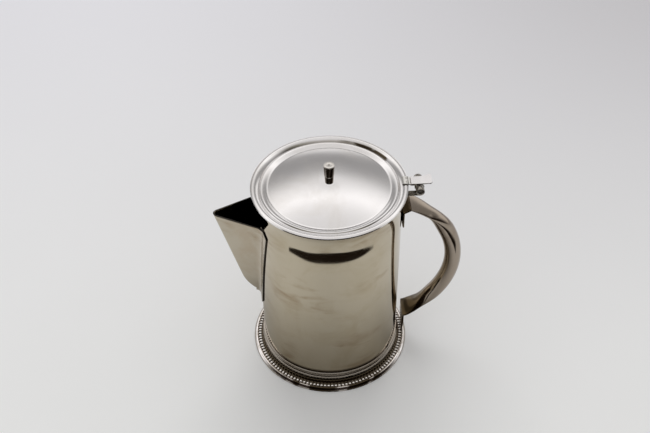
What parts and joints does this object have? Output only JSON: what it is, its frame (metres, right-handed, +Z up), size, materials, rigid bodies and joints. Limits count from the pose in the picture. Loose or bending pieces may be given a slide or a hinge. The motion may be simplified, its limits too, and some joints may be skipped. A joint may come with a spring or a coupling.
{
  "type": "teapot",
  "caption": "Straight-sided steel beverage server with a V-shaped pouring spout, C-shaped handle, fluted foot ring and hinged lid with thumb lever and knob.",
  "frame": {"origin": "centre of the foot ring on the table, on the pot's axis", "axes": "+Z up along the pot's axis, +X towards the handle, -X towards the spout"},
  "size_m": [0.1836, 0.122, 0.176],
  "materials": {
    "pot_steel": "mirror-polished stainless steel with faint smears",
    "foot_steel": "mirror-polished stainless steel",
    "spout_steel": "polished stainless sheet",
    "handle_steel": "polished stainless tube",
    "hinge_steel": "plain stainless steel",
    "lid_steel": "mirror-polished stainless steel",
    "knob_steel": "turned and polished stainless steel"
  },
  "bodies": {
    "pot": {"body_shell": "pot_steel", "base_disc": "pot_steel", "foot_ring": "foot_steel", "spout": "spout_steel", "handle": "handle_steel", "hinge_bracket": "hinge_steel", "hinge_pin": "hinge_steel"},
    "lid": {"lid": "lid_steel", "lid_strap": "lid_steel", "thumb_lever": "lid_steel", "knob": "knob_steel", "knob_washer": "hinge_steel", "knob_screw": "hinge_steel"}
  },
  "joints": [
    {"name": "lid_hinge", "type": "hinge", "parent": "pot", "child": "lid", "pos_m": [0.064, 0, 0.15472], "axis": [0, 1, 0], "range_deg": [0, 110]}
  ]
}
